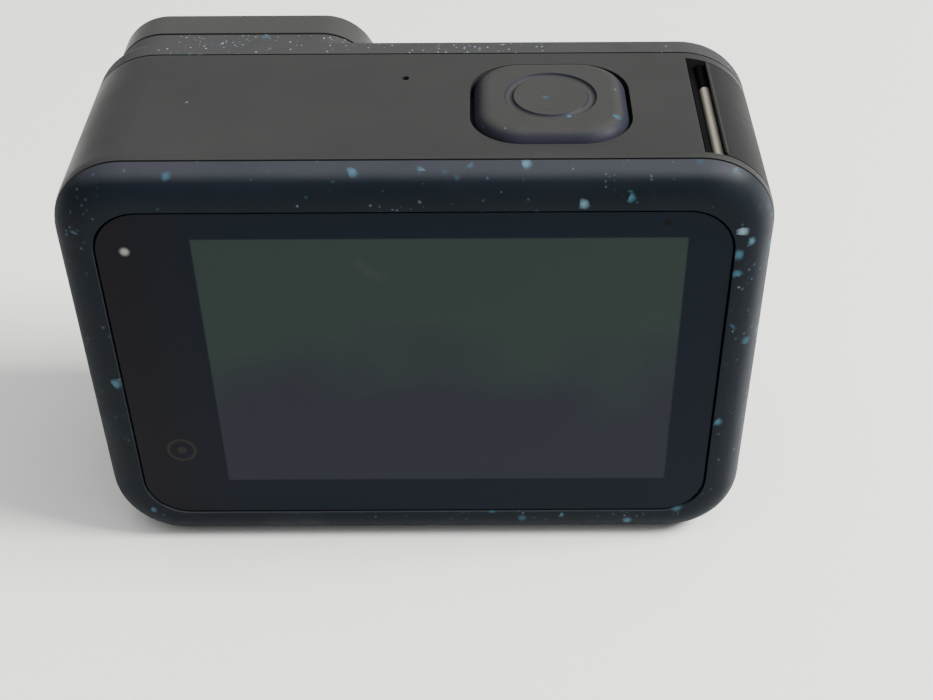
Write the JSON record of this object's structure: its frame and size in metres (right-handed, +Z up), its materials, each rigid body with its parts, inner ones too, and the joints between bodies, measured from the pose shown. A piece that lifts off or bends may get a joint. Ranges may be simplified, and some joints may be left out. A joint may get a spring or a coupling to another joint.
{
  "type": "action camera",
  "caption": "Small rugged action camera: rounded casing, rear touch screen, square lens cover, shutter button, side door and fold-out mounting fingers.",
  "frame": {"origin": "mouth of the tripod thread, in the middle of the base", "axes": "+X right seen from the screen side, +Y forward along the lens, +Z up; -Z is the tripod thread's axis"},
  "size_m": [0.0725, 0.0336, 0.0508],
  "materials": {
    "speckled_rubber": "matte rubber with fine pale blue flecks",
    "frame_plastic": "fine matte moulding",
    "latch_plastic": "fine matte moulding",
    "cover_plastic": "smooth satin",
    "clear_glass": "polished, coated",
    "screen_glass": "polished, tinted",
    "black_mask": "printed black adhesive",
    "rear_display": "unlit liquid crystal panel",
    "front_display": "unlit liquid crystal panel",
    "led_lens": "translucent",
    "stamped_steel": "plain stamped sheet",
    "pin_steel": "polished",
    "screw_steel": "blackened",
    "insert_brass": "machined",
    "finger_plastic": "glass-filled, matte",
    "button_rubber": "matte rubber",
    "seal_rubber": "soft, matte",
    "switch_metal": "plated",
    "spring_steel": "drawn wire",
    "battery_wrap": "printed wrap",
    "tab_film": "thin film",
    "tray_plastic": "moulded",
    "contact_gold": "gold plated",
    "card_plastic": "moulded",
    "circuit_board": "solder mask",
    "chip_epoxy": "moulded epoxy",
    "thermal_silicone": "soft pad",
    "speaker_plastic": "moulded",
    "mesh_steel": "woven, black",
    "membrane_film": "vent membrane",
    "antenna_ceramic": "glazed ceramic",
    "flex_film": "polyimide film",
    "barrel_aluminium": "black anodised",
    "lens_glass": "coated",
    "filter_glass": "polished",
    "sensor_silicon": "under glass",
    "spreader_aluminium": "milled"
  },
  "bodies": {
    "camera": {"battery": "battery_wrap", "battery_contacts": "contact_gold", "battery_pull_tab": "tab_film", "battery_tray": "tray_plastic", "board_screws": "screw_steel", "display_flex": "flex_film", "display_gasket": "black_mask", "door_hinge_pin": "pin_steel", "finger_pins": "pin_steel", "front_lcd": "front_display", "front_screws": "screw_steel", "front_shell": "speckled_rubber", "front_status_led": "led_lens", "front_window": "screen_glass", "gps_antenna": "antenna_ceramic", "heat_spreader": "spreader_aluminium", "image_sensor": "sensor_silicon", "ir_filter": "filter_glass", "lens_barrel": "barrel_aluminium", "lens_cover_seal": "seal_rubber", "lens_front_element": "lens_glass", "lens_holder": "tray_plastic", "lens_rear_elements": "lens_glass", "lens_retaining_ring": "barrel_aluminium", "main_board": "circuit_board", "memory_card_socket": "stamped_steel", "mic_membranes": "membrane_film", "microphones": "switch_metal", "mid_frame": "frame_plastic", "mode_seal": "seal_rubber", "mode_switch": "switch_metal", "processor": "chip_epoxy", "rear_glass": "screen_glass", "rear_lcd": "rear_display", "rear_lcd_bracket": "stamped_steel", "rear_screws": "screw_steel", "rear_shell": "speckled_rubber", "rear_status_led": "led_lens", "sensor_board": "circuit_board", "shield_can": "stamped_steel", "shutter_seal": "seal_rubber", "shutter_switch": "switch_metal", "speaker": "speaker_plastic", "speaker_mesh": "mesh_steel", "thermal_pad": "thermal_silicone", "tripod_insert": "insert_brass", "usb_port": "stamped_steel"},
    "shutter": {"shutter_button": "button_rubber"},
    "mode": {"mode_button": "button_rubber"},
    "door": {"door_panel": "frame_plastic", "door_hinge_clip": "tray_plastic", "door_gasket": "seal_rubber", "door_latch_spring": "spring_steel"},
    "latch": {"door_latch": "latch_plastic"},
    "lens_cover": {"lens_cover_bezel": "cover_plastic", "lens_cover_glass": "clear_glass"},
    "card": {"memory_card": "card_plastic"},
    "finger_l": {"finger_left": "finger_plastic"},
    "finger_r": {"finger_right": "finger_plastic"}
  },
  "joints": [
    {"name": "shutter_press", "type": "slide", "parent": "camera", "child": "shutter", "axis": [0, 0, -1], "range_m": [0, 0.0006], "stiffness_N_per_m": 800},
    {"name": "mode_press", "type": "slide", "parent": "camera", "child": "mode", "axis": [1, 0, 0], "range_m": [0, 0.0005], "stiffness_N_per_m": 800},
    {"name": "door_open", "type": "hinge", "parent": "camera", "child": "door", "pos_m": [0.0299, 0, 0.0487], "axis": [0, -1, 0], "range_deg": [0, 95]},
    {"name": "door_latch_slide", "type": "slide", "parent": "door", "child": "latch", "axis": [0, 0, 1], "range_m": [0, 0.002], "stiffness_N_per_m": 150, "deforming": ["door_latch_spring"]},
    {"name": "lens_cover_twist", "type": "hinge", "parent": "camera", "child": "lens_cover", "pos_m": [-0.01945, 0, 0.03545], "axis": [0, 1, 0], "range_deg": [0, 45]},
    {"name": "memory_card_push", "type": "slide", "parent": "camera", "child": "card", "axis": [-1, 0, 0], "range_m": [0, 0.0008], "stiffness_N_per_m": 300},
    {"name": "finger_left_fold", "type": "hinge", "parent": "camera", "child": "finger_l", "pos_m": [-0.0031, 0, 0.0015], "axis": [0, -1, 0], "range_deg": [0, 90]},
    {"name": "finger_right_fold", "type": "hinge", "parent": "camera", "child": "finger_r", "pos_m": [0.0031, 0, 0.0015], "axis": [0, 1, 0], "range_deg": [0, 90]}
  ]
}
